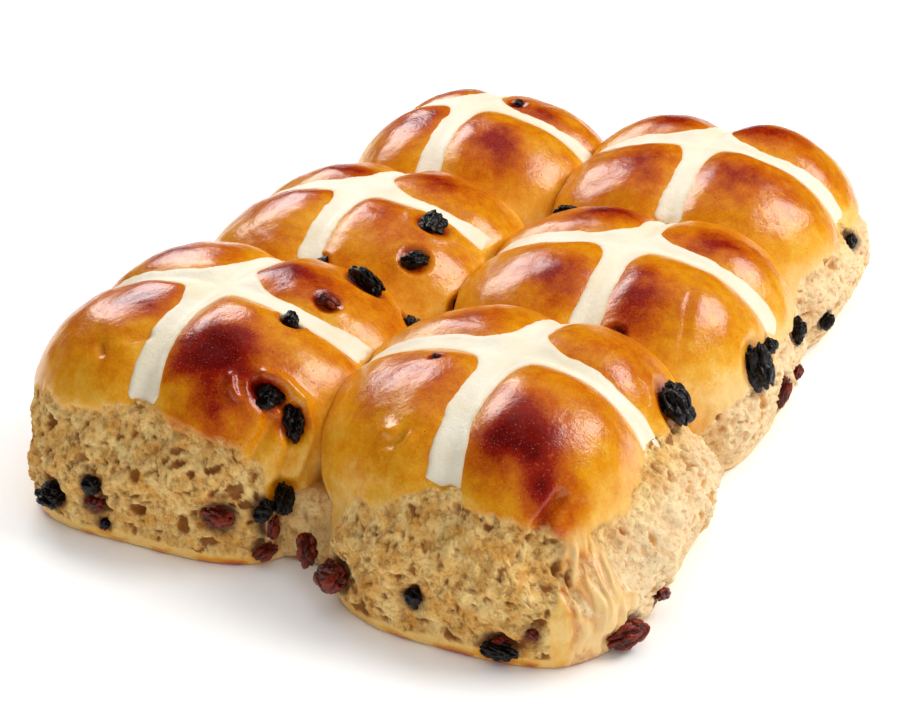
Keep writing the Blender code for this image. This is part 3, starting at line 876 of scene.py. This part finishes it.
def add_bun(name, b):
    """One bun: crust, torn crumb and base as one closed mesh with the masks of its material."""
    plain, out, _, grid, crumb, hole = shapes[name]
    centre = middle_of(b)
    placed = grid + centre
    stain, dent, rim = fruit_marks(placed)
    moved = (RIM * rim * (1.0 - dent) - DENT * dent) * smooth(2.0, 8.0, plain[..., 2])
    placed = placed + out * moved[..., None]
    placed[..., 2] = np.maximum(placed[..., 2], LOWEST)
    quads, triangles = grid_faces(grid.shape[0], AROUND)
    ends = [placed[0].mean(axis=0)], [centre + np.array((0.0, 0.0, UNDERSIDE))]
    points = np.concatenate([ends[0], placed.reshape(-1, 3), ends[1]])
    piece = add_mesh("bun_" + name, points, quads, triangles, bread_mat)
    share, strips = hanging(b, plain)
    # the batch's right flank is painted paler: partly painted light, as the light from the right falls on it,
    # partly skin that pulled away without browning
    pale_lit_flank = smooth(26.0, 40.0, plain[..., 0]) * smooth(30.0, 20.0, plain[..., 2])
    pale_lit_flank = pale_lit_flank * (b["centre"][0] > 0)
    # painted shade: the crust is browner in the hollows between the hanging strips
    strip_gap_shade = 0.4 * share * smooth(0.05, -0.4, strips)
    masks = {
        "crumb": crumb,
        # painted shade in the crumb's pores, from their depth
        "pore_shade": hole / 1.4,
        # bake: browning and fruit stains, with painted shade between the hanging strips
        "bake": bake_of(b, plain, plain + centre) + 0.3 * stain + strip_gap_shade,
        # pale: paler hanging strips of skin, and painted light on the batch's right flank
        "pale": np.maximum(pale_lit_flank, share * smooth(-0.4, 0.15, strips)),
        "stain": stain,
    }
    for mask, values in masks.items():
        add_mask(piece, mask, np.concatenate([[values[0, 0]], values.ravel(), [values[-1, 0]]]))
    belongs(piece, "bread", "bread")


for name, b in BUNS.items():
    add_bun(name, b)

# ------------ the dough between the buns
CORE_REACH = (60.0, 60.0, 105.0, 92.0)  # left, right, front, back of the batch's middle
CORE_AROUND = 600
CORE_FRONT = (-88.0, -102.0)  # it turns into torn crumb from here to here
CORE_FRONT_RISE = 2.0  # and is this much higher there
CORE_ROWS = (  # height, and share of the reach
    (0.0, 0.985), (2.0, 1.0), (4.0, 1.0), (6.0, 1.0), (8.0, 1.0), (9.5, 1.0), (11.0, 0.997),
    (12.0, 0.992), (13.0, 0.985), (14.0, 0.97), (15.0, 0.95), (15.3, 0.9), (15.4, 0.6), (15.2, 0.3),
)


def add_core():
    """The dough that joins the buns under the creases, torn where the batch's front shows it."""
    turns = np.linspace(0.0, 2.0 * math.pi, CORE_AROUND, endpoint=False)
    ring = outline(CORE_REACH, turns, EDGE_POWER)
    core = np.stack([
        np.stack([ring * k * np.cos(turns), ring * k * np.sin(turns), np.full(CORE_AROUND, z)], axis=-1)
        for z, k in reversed(CORE_ROWS)])
    core[..., 2] += 0.6 * noise(core / 6.0, 111) * smooth(8.0, 14.0, core[..., 2])
    torn = smooth(*CORE_FRONT, core[..., 1])
    core[..., 2] += CORE_FRONT_RISE * torn * smooth(5.0, 13.0, core[..., 2])
    core[..., 1] += torn * (1.1 * fbm(core / 5.0, 3, 117) - 0.5)
    quads, triangles = grid_faces(len(CORE_ROWS), CORE_AROUND)
    points = np.concatenate([[(0.0, 0.0, 15.2)], core.reshape(-1, 3), [(0.0, 0.0, 0.5)]])
    points[:, 2] = np.maximum(points[:, 2], 0.5)
    piece = add_mesh("fused_dough", points, quads, triangles, bread_mat)
    torn = smooth(*CORE_FRONT, points[:, 1])
    # painted shade: this noise darkens the torn front's pores through the pore mask
    holes = np.clip(noise(points / 1.6, 119), 0.0, 1.0)
    masks = {"crumb": torn, "pore_shade": torn * holes, "bake": 0.3 * (1.0 - torn), "pale": 0.2 * torn,
             "stain": 0.0 * torn}
    for mask, values in masks.items():
        add_mask(piece, mask, values)
    belongs(piece, "bread", "bread")


add_core()

# ------------ crosses
ARM_ROWS = 90
ARM_COLUMNS = 22
WEB_ROWS = 18  # rows of an arm inside the web, shared with its neighbours
WEB_PART = WEB_ROWS / (ARM_ROWS - 1.0)
WALL_STEP = 0.55  # rough height of one wall row of a bun
PASTE_SUNK = 0.5  # the strip's edge lies this far under the skin
PASTE_RISE = 1.1  # and its middle this far above the edge
PASTE_ROUND = 2.2  # over this width
SKIRT = 2.2  # its sides go this far down into the bun
WELD = 0.02  # points nearer than this are one
ARMS = ((1, 0, 1), (0, 1, 3), (-1, 0, 0), (0, -1, 2))  # direction, and its place in a row of four


def arm_half(s):
    """Half the width of an arm at s from the crossing, with a rounded web."""
    wide = WEB - ARM_HALF
    return np.where(s < WEB, s, ARM_HALF + wide * np.exp(-(s - WEB) / wide))


def with_middle(grid):
    """A bun's grid with the mean of its first row as one more row before it."""
    first = grid[:1].mean(axis=1, keepdims=True)
    return np.concatenate([np.repeat(first, AROUND, axis=1), grid])


def between_points(grid, row, column):
    """Values of a grid at broken rows and columns."""
    i, j = np.floor(row).astype(int), np.floor(column).astype(int)
    f, g = (row - i)[..., None], (column - j)[..., None]
    j, k = j % AROUND, (j + 1) % AROUND
    upper = grid[i, j] * (1 - g) + grid[i, k] * g
    lower = grid[i + 1, j] * (1 - g) + grid[i + 1, k] * g
    return upper * (1 - f) + lower * f


def surface(name, u, v, lift):
    """Points on a bun's whole skin over u, v, raised by lift."""
    b = BUNS[name]
    _, n, whole, *_ = shapes[name]
    angle = np.arctan2(v, u) % (2.0 * math.pi)
    steps = np.append(spread(b), 2.0 * math.pi)
    column = np.interp(angle, steps, np.arange(AROUND + 1))
    far = np.hypot(u, v)
    edge = crown_edge(b, angle)
    row = CROWN_ROWS * (1.0 - (1.0 - np.clip(far / edge, 0.0, 1.0)) ** (1.0 / CROWN_EASE))
    row = row + np.clip(far - edge, 0.0, None) / WALL_STEP
    row = np.minimum(row, CROWN_ROWS + WALL_ROWS / 2.0)
    point = between_points(with_middle(whole), row, column)
    return point + between_points(with_middle(n), row, column) * lift[..., None]


def arm_points(name, number, dx, dy, side):
    """One arm from the crossing to its ragged tip, and how near each point is to its edge."""
    b = BUNS[name]
    reach = b["arms"][side]
    l = np.sin(np.linspace(-1.0, 1.0, ARM_COLUMNS) * math.pi / 2.0)[None, :]
    part = np.linspace(0.0, 1.0, ARM_ROWS)[:, None]
    tip = noise(np.stack([l * 1.8, l * 0.0 + number, l * 0.0 + b["centre"][1]], axis=-1), 302)
    length = reach - WEB + smooth(0.7, 1.0, part) * (1.3 * tip - 0.8 * l ** 4)
    inner = np.clip(part / WEB_PART, 0.0, 1.0)
    outer = np.clip((part - WEB_PART) / (1.0 - WEB_PART), 0.0, 1.0)
    s = WEB * inner + length * outer
    half = arm_half(s)
    lean = np.stack([s / 6.0, s * 0.0 + number + 0.4 * l, s * 0.0 + b["centre"][0]], axis=-1)
    wander = 0.6 * noise(lean, 301) + 0.25 * noise(lean * 2.7, 303) + 0.7 * smooth(24.0, 37.0, s)
    half = np.where(s < WEB, half, half + wander * smooth(WEB, WEB + 6.0, s))
    bow = b["bows"][side] * np.sin(math.pi * np.clip((s - WEB) / (reach - WEB), 0.0, 1.0))
    across = l * half
    u = s * dx - across * dy + bow * abs(dy)
    v = s * dy + across * dx + bow * abs(dx)
    rim = np.clip((1.0 - np.abs(l)) * half, 0.0, None)
    rim = np.where(s < WEB, np.minimum(WEB, rim + (WEB - s)), rim)
    slope = 1.0 - np.clip(rim / PASTE_ROUND, 0.0, 1.0)
    height = PASTE_RISE * np.sqrt(np.clip(1.0 - slope ** 2, 0.0, 1.0)) - PASTE_SUNK
    height = height * (0.4 + 0.6 * np.clip((reach - s) / 1.2, 0.0, 1.0))
    return surface(name, u, v, height).reshape(-1, 3), np.exp(-((rim / 0.7) ** 2)).ravel()


def close_below(mesh):
    """Weld a strip's arms, then give it sides that go down and a bottom."""
    bm = bmesh.new()
    bm.from_mesh(mesh)
    bmesh.ops.remove_doubles(bm, verts=bm.verts, dist=WELD * MM)
    bmesh.ops.recalc_face_normals(bm, faces=bm.faces)
    if sum(f.normal.z for f in bm.faces) < 0:
        bmesh.ops.reverse_faces(bm, faces=bm.faces)
    rim_edges = [e for e in bm.edges if e.is_boundary]
    under = bmesh.ops.extrude_edge_only(bm, edges=rim_edges)
    for vert in (g for g in under["geom"] if isinstance(g, bmesh.types.BMVert)):
        vert.co.z -= SKIRT * MM
    low_edges = [g for g in under["geom"] if isinstance(g, bmesh.types.BMEdge) and g.is_boundary]
    bmesh.ops.triangle_fill(bm, edges=low_edges, use_beauty=False)
    bmesh.ops.recalc_face_normals(bm, faces=bm.faces)
    bm.to_mesh(mesh)
    bm.free()


def add_cross(name):
    """The piped cross of one bun."""
    i = np.arange(ARM_ROWS - 1)[:, None]
    j = np.arange(ARM_COLUMNS - 1)[None, :]
    a = i * ARM_COLUMNS + j
    quads = np.stack([a, a + ARM_COLUMNS, a + ARM_COLUMNS + 1, a + 1], axis=-1).reshape(-1, 4)
    arms = [arm_points(name, number, *arm) for number, arm in enumerate(ARMS)]
    points = np.concatenate([p for p, _ in arms]) + middle_of(BUNS[name])
    faces = np.concatenate([quads + k * ARM_ROWS * ARM_COLUMNS for k in range(len(ARMS))])
    piece = add_mesh("paste_" + name, points, faces, NO_TRIANGLES, paste_mat)
    add_mask(piece, "edge", np.concatenate([e for _, e in arms]))
    close_below(piece.data)
    belongs(piece, "cross", "cross_" + name)


for name in BUNS:
    add_cross(name)


# ------------ floor, light and camera
FLOOR_HALF = 3  # metres, as are the lights' sizes and distances
WORLD_LEVEL = 0.27
WARM = (1.0, 0.99, 0.97)
WHITE = (1.0, 1.0, 1.0)
CAMERA_TARGET = (2.73, -32.53, 20.0)  # in the batch
CAMERA_AWAY = 445.1
CAMERA_AZIMUTH = 25.44  # degrees to the right of the front
CAMERA_LIFT = 26.59
CAMERA_ROLL = -0.95
CAMERA_LENS = 70.44


def area_light(name, azimuth, lift, distance, size, power, tint):
    """A soft box that looks at the middle of the buns."""
    data = bpy.data.lights.new(name, "AREA")
    data.shape = "RECTANGLE"
    data.size, data.size_y = size
    data.energy = power
    data.color = tint
    ob = add_object(name, data)
    back = heading(azimuth, lift)
    ob.location = back * distance
    ob.rotation_mode = "QUATERNION"
    ob.rotation_quaternion = back.to_track_quat("Z", "Y")
    return ob


def add_floor():
    """A plain pale floor."""
    mesh = bpy.data.meshes.new("floor")
    half = FLOOR_HALF
    mesh.from_pydata([(-half, -half, 0), (half, -half, 0), (half, half, 0), (-half, half, 0)], [],
                     [(0, 1, 2, 3)])
    look = Nodes("floor")
    tone = look.mix(look.noise(3.0), colour(252, 252, 252), colour(249, 249, 249))
    mesh.materials.append(look.finish(tone, 0.9, None))
    return add_object("floor", mesh)


def add_world():
    """An even white surround that the glaze doesn't mirror."""
    world = bpy.data.worlds.new("studio")
    world.use_nodes = True
    world.node_tree.nodes["Background"].inputs[0].default_value = (1.0, 1.0, 1.0, 1.0)
    world.node_tree.nodes["Background"].inputs[1].default_value = WORLD_LEVEL
    world.cycles_visibility.glossy = False
    bpy.context.scene.world = world


def add_camera():
    """The camera, with its roll."""
    azimuth, lift, roll = (math.radians(a) for a in (CAMERA_AZIMUTH, CAMERA_LIFT, CAMERA_ROLL))
    back = Vector((math.sin(azimuth) * math.cos(lift), -math.cos(azimuth) * math.cos(lift), math.sin(lift)))
    level = Vector((math.cos(azimuth), math.sin(azimuth), 0.0))
    right = level * math.cos(roll) + back.cross(level) * math.sin(roll)
    data = bpy.data.cameras.new("camera")
    data.lens = CAMERA_LENS
    data.sensor_width = 36.0
    data.clip_start = 0.02
    ob = add_object("camera", data)
    ob.location = (Vector(CAMERA_TARGET) + Vector(SHIFT) + back * CAMERA_AWAY) * MM
    ob.rotation_mode = "QUATERNION"
    ob.rotation_quaternion = Matrix((right, back.cross(right), back)).transposed().to_quaternion()
    bpy.context.scene.camera = ob


floor = add_floor()

area_light("window_left", 146, 36, 0.9, (0.50, 0.40), 4.6, WARM)
area_light("window_right", 27, 45, 0.9, (0.46, 0.38), 5.2, WARM)
area_light("ceiling", 90, 70, 1.2, (1.0, 1.0), 1.0, WHITE)
fill = area_light("fill", -50, 38, 1.3, (1.2, 1.2), 3.8, WHITE)
fill.visible_glossy = False

# the floor has a light of its own, so that it is white round the buns
floor_only = bpy.data.collections.new("floor_only")
floor_only.objects.link(floor)
wash = area_light("floor_wash", 90, 80, 1.6, (2.6, 2.6), 15.0, WHITE)
wash.light_linking.receiver_collection = floor_only

add_world()
bpy.context.scene.view_settings.view_transform = "Standard"
add_camera()
